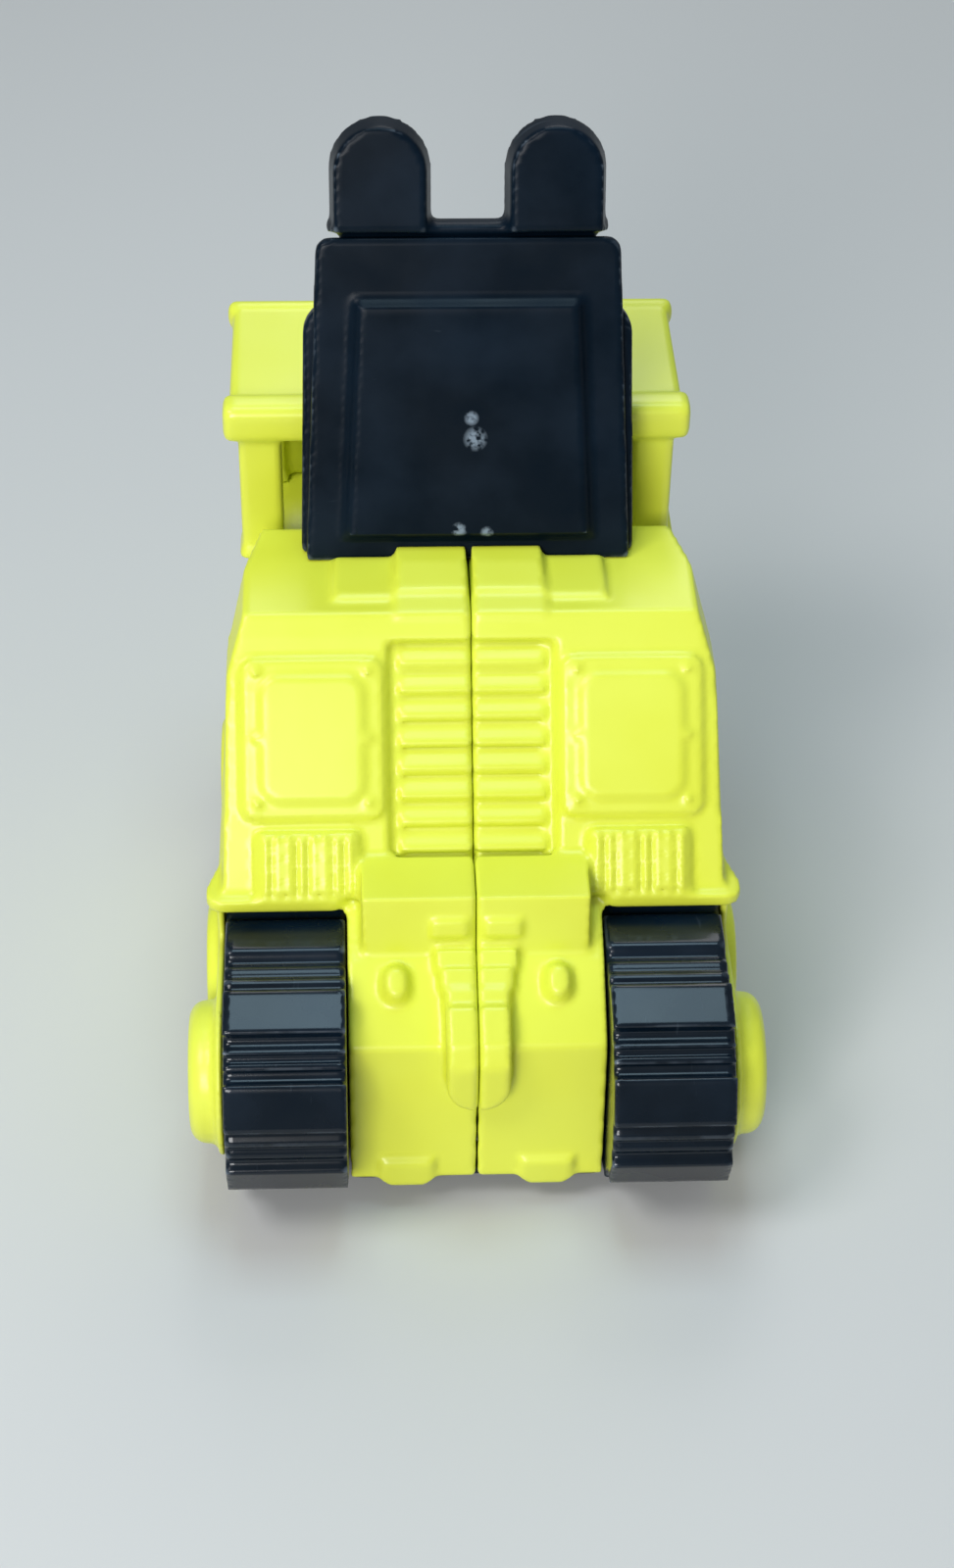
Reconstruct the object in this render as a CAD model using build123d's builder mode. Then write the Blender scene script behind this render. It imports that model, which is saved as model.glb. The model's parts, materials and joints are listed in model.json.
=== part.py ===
"""Toy bulldozer: free-wheeling plastic toy with moulded tracks, a cab and a lifting blade.

Millimetres, +Z up, +Y towards the blade, +X to the right seen from behind.
The origin is on the ground under the middle of the toy.
"""
from build123d import *
import os
from math import cos, degrees, pi, radians, sin, sqrt, tan

os.makedirs("parts", exist_ok=True)

# ---- overall ----
LENGTH = 200.0
SEAM = 0.06            # each half stands this far from the centre plane
WALL = 2.2
FLANK_WALL = 2.4

# ---- tracks ----
TRACK_R = 27.25        # over the pads, at the end loops
TRACK_LIFT = 3.5       # ground to the lowest point of the end loops
TRACK_IN = 29.35
TRACK_OUT = 56.6
PAD_COUNT = 16
PAD_LENGTH = 11.4
PAD_RISE = 2.1
PAD_PHASE = 6.7        # from the top of the rear loop back to the nearest pad
RIB_WIDTH = 1.5
RIB_RISE = 1.2
RIB_OFFSET = 1.9       # each side of the middle between two pads
BELT_THICK = 2.2
TRACK_WEB = 1.6        # inner wall that closes the belt
HUB_Z = TRACK_LIFT + TRACK_R
REAR_HUB = 27.25       # distances along the toy are measured from its rear end
MIDDLE_HUB = 62.0
FRONT_HUB = 128.0

# ---- side frames ----
FRAME_IN = 57.0
FRAME_OUT = 58.6
FRAME_R = 19.0
FRAME_REAR = 52.0      # the upright web under the fender
FRAME_FRONT = 144.0
HUB_R = 16.3
HUB_OUT = 65.0
MIDDLE_HUB_R = 15.0
MIDDLE_HUB_OUT = 62.0
FRONT_HUB_OUT = 60.6
HUB_RIM_STEP = 0.9
HUB_CAP_R = 5.0
STUB_R = 6.0

# ---- hull between the tracks ----
HULL_HALF = 29.0
NOSE_HALF = 24.0
NOSE_START = 128.0
HULL_BOTTOM = 7.5
HULL_FRONT = 161.0
HULL_REAR = 14.4
RIDGE = (19.0, 45.5)   # where the rear wall turns into the shelf under the bumper
SHELF_END = (36.0, 56.0)
LUG_X = 16.0
LUG_HALF = 6.0
LUG_DROP = 1.8

# ---- upper body ----
FENDER_Z = 60.0
FENDER_THICK = 3.6
FENDER_HALF = 60.8     # at the flared rear corner
FENDER_SIDE = 58.2     # along the flank
FENDER_TIP = 55.6      # beside the nose
FENDER_REAR = 48.0
FENDER_FRONT = 168.0
FLARE = (54.0, 62.0)   # the corner narrows between these distances
FENDER_TAPER = (122.0, 146.0)
BODY_HALF = 57.0
WAIST_HALF = 51.5      # the flanks draw in to this under the cab
WAIST = (96.0, 126.0)
FLANK_FOOT = 66.0      # the flanks lean in a little above this height
SHOULDER_Z = 102.0     # and more above this one
SHOULDER_HALF = 55.6
DECK_HALF = 51.5
SLOPE_FOOT = 50.5      # rear slope starts here, on the fender
SLOPE_ANGLE = 38.0     # from vertical, leaning forward
DECK_Z = 113.5
DECK_EDGE = 4.0        # height of the chamfer along the deck's rear edge
DECK_END = 123.0
DECK_NARROWS = 92.0    # the deck's sides close in from here to its front end
DECK_FRONT_HALF = 47.0
SILL_Z = 98.0
BODY_FRONT = 176.0

# ---- grille ----
GRILLE_HALF = 16.4
GRILLE_DEPTH = 4.6
GRILLE_STEP = 2.6      # width of the step round the grille
GRILLE_STEP_DEPTH = 2.2
LOUVRES = 9
LOUVRE_PITCH = 6.0
LOUVRE_FOOT = 3.1      # the lowest louvre starts this far up the slope
LOUVRE_EDGE = 0.9      # depth of a louvre's proud lower edge
LOUVRE_BACK = 3.4      # depth of its upper edge

# ---- panels on the side blocks, measured from the centre and up the slope ----
SQUARE = (36.2, 35.2)
SQUARE_SIZE = (32.2, 36.6)
CUSHION_SIZE = (25.0, 30.0)
FRAME_RISE = 1.4
CUSHION_RISE = 1.0
RIVET_R = 1.15
RIVET_COLUMNS = (23.6, 48.8)
RIVET_ROWS = (20.7, 35.3, 50.2)
VENT = (37.6, 6.7)
VENT_SIZE = (23.6, 15.6)
VENT_RIBS = 8
VENT_RIB_PITCH = 2.7
VENT_RIB = (14.0, 1.5)

# ---- bumper ----
BUMPER_HALF = 25.7
BUMPER_REAR = 37.0
BUMPER_LEAN = 3.9
BUMPER_BOTTOM = 55.0
BUMPER_TOP = 70.6
PLATE_PLACE = (6.0, 8.6)
PLATE_SIZE = (8.8, 4.8)

# ---- tow bar relief ----
TONGUE_HALF = 7.2
TONGUE_END_Z = 31.2
KNOB_PLACE = (18.2, 14.6)
KNOB_TIERS = ((10.4, 8.0, -1.0, 3.6), (7.6, 5.2, 2.4, 1.3))    # length, width, base and rise

# ---- wheels, base and screws ----
WHEEL_R = 9.0
WHEEL_IN = 21.6
WHEEL_OUT = 28.6
ARCH_GAP = 0.7
AXLE_R = 1.2
AXLE_BORE_R = 1.28
AXLE_SHORT = 0.3       # the axle ends this far inside the wheels' outer faces
REAR_AXLE = 25.6
FRONT_AXLE = 112.0
BASE_THICK = 2.3
BASE_REAR = 17.0
BASE_FRONT = 154.0
BASE_GAP = 0.3
BEARING_X = 16.0
SCREW_R = 1.1
SCREW_LENGTH = 13.0
SCREW_HEAD_R = 2.1
SCREW_HEAD = 1.1
SCREW_X = 23.6
SCREW_PLACES = (62.0, 88.0)
BOSS_R = 3.6
BOSS_HEIGHT = 26.0

# ---- black cab tower ----
LEAN = 18.0            # forward, from vertical
PANEL_FOOT = 109.2
PANEL_HEIGHT = 75.0
PANEL_BOTTOM_HALF = 37.6
PANEL_TOP_HALF = 34.0
PANEL_THICK = 3.0
BEVEL_FOOT = 5.2
BEVEL_TOP = 62.0
BEVEL_BOTTOM_HALF = 29.3
BEVEL_TOP_HALF = 26.2
BEVEL_RISE = 2.6
TOWER_THICK = 6.0
TOWER_HEIGHT = 59.5
TOWER_HALF = 38.6
TOWER_TAPER = 1.6      # each side, from foot to top
TOWER_SCREWS = [(-26, 20), (26, 20)]
TOWER_SCREW_R = 1.0
TOWER_SCREW_GRIP = 2.0 # depth into the tower's rear wall
PEG_X = 24.0
PEG_R = 2.2
PEG_GAP = 0.05
PEG_PLACE = 115.5
PEG_BELOW = 3.6        # a peg reaches this far below the deck's top
UPRIGHT_X = 19.5
UPRIGHT_HALF = 11.5
UPRIGHT_RISE = 14.2
UPRIGHT_DEPTH = 8.5
UPRIGHT_BACK = 8.0     # the uprights start this far behind the panel's face
UPRIGHT_FOOT = (24.6, 2.4)
LOW_BAR = (26.0, 3.0)
LOW_BAR_DEPTH = 6.0

# ---- deck tiers: rear end, crease and front, as (distance, rise above the deck) ----
TIER_GAP = 0.3         # to the panel
INNER_TIER = [(89.0, 0.0), (94.8, 1.3), (96.0, 2.3), (104.2, 3.7)]
INNER_TIER_SPAN = (0.6, 17.0)
OUTER_TIER = [(93.8, 0.0), (94.8, 1.2), (104.6, 1.7)]
OUTER_TIER_SPAN = (16.5, 31.0)
INNER_TIER_RISE = 4.0
OUTER_TIER_RISE = 1.9

# ---- canopy ----
ROOF_SHIFT = -2.0      # the canopy sits a little left of the seam
ROOF_REAR = 131.0
ROOF_FRONT = 184.5
ROOF_HALF = 53.4
ROOF_BOTTOM = 132.5
ROOF_THICK = 6.0
REAR_LIP_HALF = 54.4
REAR_LIP_SIZE = (9.0, 9.8)
FRONT_LIP_HALF = 54.4
FRONT_LIP_SIZE = (6.0, 6.6)
LIP_CORNER = 2.9
POST_IN = 41.0
POST_OUT = 51.1
POST_DEPTH = 8.0
REAR_POST = 137.0
FRONT_POST = 168.5
CROSS_BAR_HEIGHT = 13.0

# ---- cab interior ----
SEAT_HALF = 11.0
SEAT_SIDE = [(134, 0), (134, 24), (137.5, 24), (140, 8), (154, 7), (154, 0)]
CONSOLE_PLACE = 163.0
CONSOLE_SIZE = (34.0, 4.0, 9.0)
LEVER_X = 9.0
LEVER_R = 1.1
LEVER_HEIGHT = 12.0
LEVER_KNOB_R = 2.0

# ---- blade and arms ----
PIVOT_Y = 138.0
PIVOT_Z = 26.0
PIN_R = 2.0
PIN_GAP = 0.06
PIN_SHOW = 0.3         # the pin shows this much past each arm
ARM_IN = 24.5
ARM_OUT = 28.2
ARM_EYE_R = 5.0
ARM_SIDE = [(PIVOT_Y, PIVOT_Z + 4), (184, 27), (191, 30), (191, 15.3), (184, 15.3), (PIVOT_Y, PIVOT_Z - 4)]
BLADE_HALF = 52.0
BLADE_BOTTOM = 2.0
BLADE_TOP = 44.0
BLADE_MIDDLE = (BLADE_TOP + BLADE_BOTTOM) / 2
BLADE_HOLLOW = 7.0     # depth of the curve, from the lower edge
BLADE_LIP_FOOT = 3.4
BLADE_LIP_TOP = 3.2
BLADE_RIB_OFFSET = 9.0
BLADE_RIB = (2 * BLADE_HALF - 8, 5.0, 2.4)


def along(distance):
    """Turn a distance from the toy's rear end into its Y."""
    return distance - LENGTH / 2


def side_points(*pairs):
    """Points of a side-view outline, from (distance, height) pairs."""
    return [(along(distance), height) for distance, height in pairs]


def across(distance):
    """The section plane at a distance along the toy, facing its rear."""
    return Plane(origin=(0, along(distance), 0), x_dir=(1, 0, 0), z_dir=(0, -1, 0))


def finish(builder, label):
    """Name a finished piece and write it."""
    builder.part.label = label
    export_step(builder.part, f"parts/{label}.step")


# The rear slope: its direction, its outward normal and the plane that relief is drawn on.
SLOPE_UP = (0, sin(radians(SLOPE_ANGLE)), cos(radians(SLOPE_ANGLE)))
SLOPE_OUT = (0, -cos(radians(SLOPE_ANGLE)), sin(radians(SLOPE_ANGLE)))
SLOPE_BASE_Z = FENDER_Z + FENDER_THICK
SLOPE_LENGTH = (DECK_Z - DECK_EDGE - SLOPE_BASE_Z) / cos(radians(SLOPE_ANGLE))
SLOPE_TOP = SLOPE_FOOT + SLOPE_LENGTH * sin(radians(SLOPE_ANGLE))
SLOPE = Plane(origin=(0, along(SLOPE_FOOT), SLOPE_BASE_Z), x_dir=(1, 0, 0), z_dir=SLOPE_OUT)
SLOPE_SIDE = Plane(origin=SLOPE.origin, x_dir=SLOPE_UP, z_dir=(1, 0, 0))

# The black tower's plane, on the rear face of its panel.
TOWER_OUT = (0, -cos(radians(LEAN)), sin(radians(LEAN)))
TOWER = Plane(origin=(0, along(PANEL_FOOT), DECK_Z), x_dir=(1, 0, 0), z_dir=TOWER_OUT)
BELOW_DECK = 3.0       # the tower's forms start this far below the deck, and are cut level with it

SIDE = Plane.YZ
BEYOND = 130.0         # past the body's sides and top, for what is cut away there


def slope_inside(depth, height):
    """The distance along the toy of a point that deep inside the slope, at a height."""
    on_slope = SLOPE_FOOT + (height - SLOPE_BASE_Z) * tan(radians(SLOPE_ANGLE))
    return on_slope + depth / cos(radians(SLOPE_ANGLE))


# ================= body =================

# Everything inside the walls, open below. Both halves are hollowed with it.
CAVITY_FLOOR = FENDER_Z + WALL
CAVITY_TOP = DECK_Z - WALL
SILL_UNDER = SILL_Z - WALL
BEHIND_GRILLE = GRILLE_DEPTH + WALL
BLOCK_LOW = 67.0       # the pockets behind the square panels
BLOCK_HIGH = 107.0
BLOCK_WIDTH = 27.0
BODY_INSIDE = [(60, CAVITY_FLOOR), (slope_inside(BEHIND_GRILLE, CAVITY_TOP), CAVITY_TOP),
               (DECK_END - WALL, CAVITY_TOP), (DECK_END, SILL_UNDER), (BODY_FRONT - 5.5, SILL_UNDER),
               (BODY_FRONT - 2.5, 91), (BODY_FRONT - 2.5, 73), (BODY_FRONT - 8.5, CAVITY_FLOOR)]
HULL_INSIDE = [(HULL_REAR + 1.3, 0), (RIDGE[0] + 2.3, RIDGE[1] - 1.4),
               (SHELF_END[0] + 1.4, SHELF_END[1] - 2.2), (60, 58.5), (60, 64),
               (HULL_FRONT - 6.2, 64), (HULL_FRONT - 6.2, 0)]
with BuildPart() as cavity:
    with BuildSketch(SIDE.offset(-BODY_HALF + WALL)):
        Polygon(*side_points(*BODY_INSIDE), align=None)
    extrude(amount=2 * (BODY_HALF - WALL))
    for side in (-1, 1):
        with BuildSketch(SIDE.offset(side * (GRILLE_HALF + GRILLE_STEP + WALL))):
            Polygon(*side_points((slope_inside(WALL, BLOCK_LOW), BLOCK_LOW),
                                 (slope_inside(WALL, BLOCK_HIGH), BLOCK_HIGH),
                                 (slope_inside(BEHIND_GRILLE + 2, BLOCK_HIGH), BLOCK_HIGH),
                                 (slope_inside(BEHIND_GRILLE + 2, BLOCK_LOW), BLOCK_LOW)), align=None)
        extrude(amount=side * BLOCK_WIDTH)
    for side in (-1, 1):
        with BuildSketch(across(-LENGTH)):
            Polygon((side * (BODY_HALF - FLANK_WALL), FENDER_Z),
                    (side * (SHOULDER_HALF - FLANK_WALL), SILL_UNDER),
                    (side * (DECK_FRONT_HALF - 1), SILL_UNDER), (side * (DECK_FRONT_HALF - 1), DECK_Z),
                    (side * BODY_HALF, DECK_Z), (side * BODY_HALF, FENDER_Z), align=None)
        extrude(amount=-3 * LENGTH, mode=Mode.SUBTRACT)
        with BuildSketch(Plane.XY.offset(CAVITY_FLOOR - 1)):
            Polygon((side * (BODY_HALF - FLANK_WALL), along(WAIST[0])),
                    (side * (WAIST_HALF - FLANK_WALL), along(WAIST[1])),
                    (side * (WAIST_HALF - FLANK_WALL), along(LENGTH)),
                    (side * BEYOND, along(LENGTH)), (side * BEYOND, along(WAIST[0])), align=None)
        extrude(amount=BEYOND, mode=Mode.SUBTRACT)
    with BuildSketch(SIDE.offset(-HULL_HALF + WALL)):
        Polygon(*side_points(*HULL_INSIDE), align=None)
    extrude(amount=2 * (HULL_HALF - WALL))
    for side in (-1, 1):
        with Locations((side * (NOSE_HALF - WALL + 6), along(NOSE_START + 16 - WALL), 30)):
            Box(12, 32, 70, mode=Mode.SUBTRACT)

# The outer shape of the right half, before its relief.
HULL_SIDE = [(HULL_REAR, HULL_BOTTOM), RIDGE, SHELF_END, (52, 62), (HULL_FRONT, 62),
             (HULL_FRONT - 4, HULL_BOTTOM)]
BODY_SIDE = [(SLOPE_FOOT, FENDER_Z), (SLOPE_FOOT, SLOPE_BASE_Z), (SLOPE_TOP, DECK_Z - DECK_EDGE),
             (SLOPE_TOP + 3.5, DECK_Z), (DECK_END, DECK_Z), (DECK_END + 2.5, SILL_Z),
             (BODY_FRONT - 3, SILL_Z), (BODY_FRONT, 92), (BODY_FRONT, 72), (169, FENDER_Z)]
with BuildPart() as outer_form:
    with BuildSketch(SIDE):
        Polygon(*side_points(*HULL_SIDE), align=None)
    extrude(amount=HULL_HALF)
    with Locations((NOSE_HALF + 4, along(NOSE_START + 20), FENDER_Z / 2 - 0.01)):
        Box(8, 40, FENDER_Z, mode=Mode.SUBTRACT)
    with BuildSketch(SIDE):
        Polygon(*side_points(*BODY_SIDE), align=None)
    extrude(amount=BODY_HALF)
    with BuildSketch(across(-LENGTH)):
        Polygon((BODY_HALF, FLANK_FOOT), (SHOULDER_HALF, SHOULDER_Z), (DECK_HALF, DECK_Z),
                (DECK_HALF, BEYOND), (BEYOND, BEYOND), (BEYOND, FLANK_FOOT), align=None)
    extrude(amount=-3 * LENGTH, mode=Mode.SUBTRACT)
    with BuildSketch(Plane.XY.offset(FENDER_Z)):
        Polygon((BODY_HALF, along(WAIST[0])), (WAIST_HALF, along(WAIST[1])), (WAIST_HALF, along(LENGTH)),
                (BEYOND, along(LENGTH)), (BEYOND, along(WAIST[0])), align=None)
    extrude(amount=BEYOND, mode=Mode.SUBTRACT)
    with BuildSketch(Plane.XY.offset(SILL_Z)):
        Polygon((SHOULDER_HALF + 0.2, along(DECK_NARROWS)), (DECK_FRONT_HALF, along(DECK_END + 4)),
                (BEYOND, along(DECK_END + 4)), (BEYOND, along(DECK_NARROWS)), align=None)
    extrude(amount=BEYOND, mode=Mode.SUBTRACT)

# The flat guard over one track, with rounded corners and a flared rear one.
with BuildPart() as fender:
    with BuildSketch(Plane.XY.offset(FENDER_Z)):
        Polygon((HULL_HALF, along(FENDER_REAR)), (FENDER_HALF, along(FENDER_REAR)),
                (FENDER_HALF, along(FLARE[0])), (FENDER_SIDE, along(FLARE[1])),
                (FENDER_SIDE, along(FENDER_TAPER[0])), (FENDER_TIP, along(FENDER_TAPER[1])),
                (FENDER_TIP, along(FENDER_FRONT)), (HULL_HALF, along(FENDER_FRONT)), align=None)
        fillet(vertices().group_by(Axis.Y)[0], radius=3.5)
        fillet(vertices().group_by(Axis.Y)[-1], radius=3.5)
    extrude(amount=FENDER_THICK)

# The recess between the side blocks, with a stepped edge.
RECESS_FOOT = -3.0
RECESS_TOP = LOUVRE_FOOT + LOUVRES * LOUVRE_PITCH
with BuildPart() as grille_recess:
    for half, depth in ((GRILLE_HALF, GRILLE_DEPTH), (GRILLE_HALF + GRILLE_STEP, GRILLE_STEP_DEPTH)):
        with BuildSketch(SLOPE):
            with Locations((0, (RECESS_FOOT + RECESS_TOP) / 2)):
                Rectangle(2 * half, RECESS_TOP - RECESS_FOOT)
        extrude(amount=-depth)

# The louvres that fill the recess, each lying over the one below like a clapboard.
LOUVRE_ROOT = -GRILLE_DEPTH - 0.2
with BuildPart() as louvres:
    for index in range(LOUVRES):
        foot = LOUVRE_FOOT + index * LOUVRE_PITCH
        head = foot + LOUVRE_PITCH
        with BuildSketch(SLOPE_SIDE):
            Polygon((foot, LOUVRE_ROOT), (foot, -LOUVRE_EDGE - 0.4), (foot + 0.5, -LOUVRE_EDGE),
                    (foot + 1.1, -LOUVRE_EDGE), (head, -LOUVRE_BACK), (head, LOUVRE_ROOT), align=None)
        extrude(amount=GRILLE_HALF)

# The raised cushioned square on one side block, with its six rivets.
with BuildPart() as square_panel:
    with BuildSketch(SLOPE):
        with Locations(SQUARE):
            RectangleRounded(*SQUARE_SIZE, 3.0)
    extrude(amount=FRAME_RISE, taper=12)
    with BuildSketch(SLOPE.offset(FRAME_RISE - 0.2)):
        with Locations(SQUARE):
            RectangleRounded(*CUSHION_SIZE, 5.0)
    extrude(amount=CUSHION_RISE + 0.2, taper=48)
    for column in RIVET_COLUMNS:
        for row in RIVET_ROWS:
            with BuildSketch(SLOPE.offset(FRAME_RISE - 0.4)):
                with Locations((column, row)):
                    Circle(RIVET_R)
            extrude(amount=1.4, taper=20)

# The ribbed vent below one square panel.
with BuildPart() as vent:
    with BuildSketch(SLOPE):
        with Locations(VENT):
            RectangleRounded(*VENT_SIZE, 1.6)
    extrude(amount=1.6, taper=10)
    for index in range(VENT_RIBS):
        with BuildSketch(SLOPE.offset(1.4)):
            with Locations((VENT[0] + (index - (VENT_RIBS - 1) / 2) * VENT_RIB_PITCH, VENT[1])):
                SlotOverall(*VENT_RIB, rotation=90)
        extrude(amount=1.3, taper=12)

# The box under the grille, with a blank raised plate on each half.
BUMPER_HEIGHT = BUMPER_TOP - BUMPER_BOTTOM
BUMPER_FACE = Plane(origin=(0, along(BUMPER_REAR), BUMPER_BOTTOM), x_dir=(1, 0, 0),
                    z_dir=(0, -BUMPER_HEIGHT, BUMPER_LEAN))
with BuildPart() as bumper:
    with BuildSketch(SIDE):
        Polygon(*side_points((BUMPER_REAR, BUMPER_BOTTOM), (BUMPER_REAR + BUMPER_LEAN, BUMPER_TOP),
                             (SLOPE_FOOT + 6, BUMPER_TOP), (SLOPE_FOOT + 6, BUMPER_BOTTOM)), align=None)
    extrude(amount=BUMPER_HALF)
    outer_low = bumper.edges().filter_by(Axis.Y).group_by(Axis.Z)[0].sort_by(Axis.X)[-1]
    fillet(outer_low, radius=4.0)
    with BuildSketch(BUMPER_FACE.offset(-0.4)):
        with Locations(PLATE_PLACE):
            RectangleRounded(*PLATE_SIZE, 0.8)
    extrude(amount=1.7, taper=14)

# The stepped tow bar relief on the hull's rear, with a rounded knob beside it.
LEDGE = Plane(origin=(0, along(RIDGE[0]), RIDGE[1]), x_dir=(1, 0, 0),
              z_dir=(0, RIDGE[1] - SHELF_END[1], SHELF_END[0] - RIDGE[0]))
TONGUE_STEPS = [(9.6, 17.0, 22.5, 2.6), (8.7, 12.5, 18.0, 3.4), (7.8, 8.0, 13.5, 4.0)]
TONGUE_SIDE = [(20.5, 46), (26, 51), (23, 54.5), (15.2, 50), (12.6, 45), (12.4, TONGUE_END_Z + TONGUE_HALF),
               (19, TONGUE_END_Z + TONGUE_HALF)]
with BuildPart() as drawbar:
    for half, start, end, height in TONGUE_STEPS:
        with BuildSketch(LEDGE.offset(-1.0)):
            with Locations((0, (start + end) / 2)):
                Rectangle(2 * half, end - start)
        extrude(amount=height + 1.0, taper=8)
    with BuildSketch(SIDE.offset(-TONGUE_HALF)):
        Polygon(*side_points(*TONGUE_SIDE), align=None)
    extrude(amount=2 * TONGUE_HALF)
    with BuildSketch(across(19)):
        with Locations((0, TONGUE_END_Z + TONGUE_HALF)):
            Circle(TONGUE_HALF)
    extrude(amount=6.6)
    with Locations((0, along(12.3), 45.6)):
        Sphere(1.1, mode=Mode.SUBTRACT)
    for length, width, base, rise in KNOB_TIERS:
        with BuildSketch(LEDGE.offset(base)):
            with Locations(KNOB_PLACE):
                SlotOverall(length, width, rotation=90)
        extrude(amount=rise, taper=20)

# The stepped block across the deck, split down the middle by an open gap.
with BuildPart() as deck_tiers:
    for outline, rise, span in ((INNER_TIER, INNER_TIER_RISE, INNER_TIER_SPAN),
                                (OUTER_TIER, OUTER_TIER_RISE, OUTER_TIER_SPAN)):
        front = PANEL_FOOT - TIER_GAP
        tops = [(distance, DECK_Z + lift) for distance, lift in outline]
        with BuildSketch(SIDE.offset(span[0])):
            Polygon(*side_points((outline[0][0], DECK_Z - 1), *tops,
                                 (front + rise * tan(radians(LEAN)), DECK_Z + rise),
                                 (front, DECK_Z), (front, DECK_Z - 1)), align=None)
        extrude(amount=span[1] - span[0])

# What is drilled or cut out of the body: screw holes, wheel arches, the arm pin's and the tower pegs' holes.
with BuildPart() as body_cuts:
    with BuildSketch(Plane.XY.offset(HULL_BOTTOM - 1)):
        with Locations(*[(SCREW_X, along(place)) for place in SCREW_PLACES]):
            Circle(SCREW_R)
    extrude(amount=15)
    for axle in (REAR_AXLE, FRONT_AXLE):
        with BuildSketch(SIDE.offset(WHEEL_IN - 1.2)):
            with Locations((along(axle), WHEEL_R)):
                Circle(WHEEL_R + ARCH_GAP)
        extrude(amount=12)
    with BuildSketch(SIDE):
        with Locations((along(PIVOT_Y), PIVOT_Z)):
            Circle(PIN_R)
    extrude(amount=HULL_HALF)
    with BuildSketch(Plane.XY.offset(DECK_Z - 8)):
        with Locations((PEG_X, along(PEG_PLACE))):
            Circle(PEG_R + PEG_GAP)
    extrude(amount=12)

# Screw bosses inside the hull, and the lug on its rear lower edge.
with BuildPart() as hull_bosses:
    with BuildSketch(Plane.XY.offset(HULL_BOTTOM)):
        with Locations(*[(SCREW_X, along(place)) for place in SCREW_PLACES]):
            Circle(BOSS_R)
    extrude(amount=BOSS_HEIGHT)
    with BuildSketch(across(HULL_REAR - 1.0)):
        Polygon((LUG_X - LUG_HALF, HULL_BOTTOM + 6), (LUG_X - LUG_HALF, HULL_BOTTOM),
                (LUG_X - LUG_HALF + LUG_DROP, HULL_BOTTOM - LUG_DROP),
                (LUG_X + LUG_HALF - LUG_DROP, HULL_BOTTOM - LUG_DROP),
                (LUG_X + LUG_HALF, HULL_BOTTOM), (LUG_X + LUG_HALF, HULL_BOTTOM + 6), align=None)
    extrude(amount=-3.0)

with BuildPart() as body_right_half:
    add(outer_form.part)
    add(fender.part)
    add(bumper.part)
    add(cavity.part, mode=Mode.SUBTRACT)
    add(grille_recess.part, mode=Mode.SUBTRACT)
    for relief in (louvres, square_panel, vent, drawbar, deck_tiers, hull_bosses):
        add(relief.part)
    add(body_cuts.part, mode=Mode.SUBTRACT)
    with Locations((-50 + SEAM, 0, 60)):
        Box(100, 2 * LENGTH, 300, mode=Mode.SUBTRACT)

with BuildPart() as body_left_half:
    mirror(body_right_half.part, about=Plane.YZ)

finish(body_right_half, "body_right_half")
finish(body_left_half, "body_left_half")

# ================= tracks =================


def track_station(travel):
    """Hub distance and outward angle at a travel back and down from the top of the rear loop."""
    straight = FRONT_HUB - REAR_HUB
    bend = pi * TRACK_R
    travel = travel % (2 * straight + 2 * bend)
    if travel < bend:
        angle = 90 + degrees(travel / TRACK_R)
        return REAR_HUB, angle
    if travel < bend + straight:
        return REAR_HUB + travel - bend, 270.0
    if travel < 2 * bend + straight:
        angle = 270 + degrees((travel - bend - straight) / TRACK_R)
        return FRONT_HUB, angle
    return FRONT_HUB - (travel - 2 * bend - straight), 90.0


def radial_block(distance, angle, reach, length, height):
    """A rectangle of the belt's outline, standing outward from a point on the hub line."""
    centre = (along(distance) + (reach - height / 2) * cos(radians(angle)),
              HUB_Z + (reach - height / 2) * sin(radians(angle)))
    with Locations(centre):
        Rectangle(height, length, rotation=angle)


PERIMETER = 2 * pi * TRACK_R + 2 * (FRONT_HUB - REAR_HUB)
PITCH = PERIMETER / PAD_COUNT
PAD_REACH = sqrt(TRACK_R ** 2 - PAD_LENGTH ** 2 / 4)    # a pad is flat, with its corners on TRACK_R
BELT_R = PAD_REACH - PAD_RISE
TRACK_MID = along((REAR_HUB + FRONT_HUB) / 2)
HUB_SPAN = FRONT_HUB - REAR_HUB

with BuildPart() as right_track:
    with BuildSketch(SIDE.offset(TRACK_IN)):
        with Locations((TRACK_MID, HUB_Z)):
            SlotCenterToCenter(HUB_SPAN, 2 * BELT_R)
        for number in range(PAD_COUNT):
            place, angle = track_station(PAD_PHASE + number * PITCH)
            radial_block(place, angle, PAD_REACH, PAD_LENGTH, PAD_RISE + 4)
            for offset_along in (-RIB_OFFSET, RIB_OFFSET):
                place, angle = track_station(PAD_PHASE + (number + 0.5) * PITCH + offset_along)
                radial_block(place, angle, BELT_R + RIB_RISE, RIB_WIDTH, 4.0)
        with Locations((TRACK_MID, HUB_Z)):
            SlotCenterToCenter(HUB_SPAN, 2 * (BELT_R - BELT_THICK), mode=Mode.SUBTRACT)
    extrude(amount=TRACK_OUT - TRACK_IN)
    with BuildSketch(SIDE.offset(TRACK_IN)):
        with Locations((TRACK_MID, HUB_Z)):
            SlotCenterToCenter(HUB_SPAN, 2 * (BELT_R - 1))
    extrude(amount=TRACK_WEB)

with BuildPart() as left_track:
    mirror(right_track.part, about=Plane.YZ)

finish(right_track, "right_track")
finish(left_track, "left_track")

# ================= side frames =================

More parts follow.
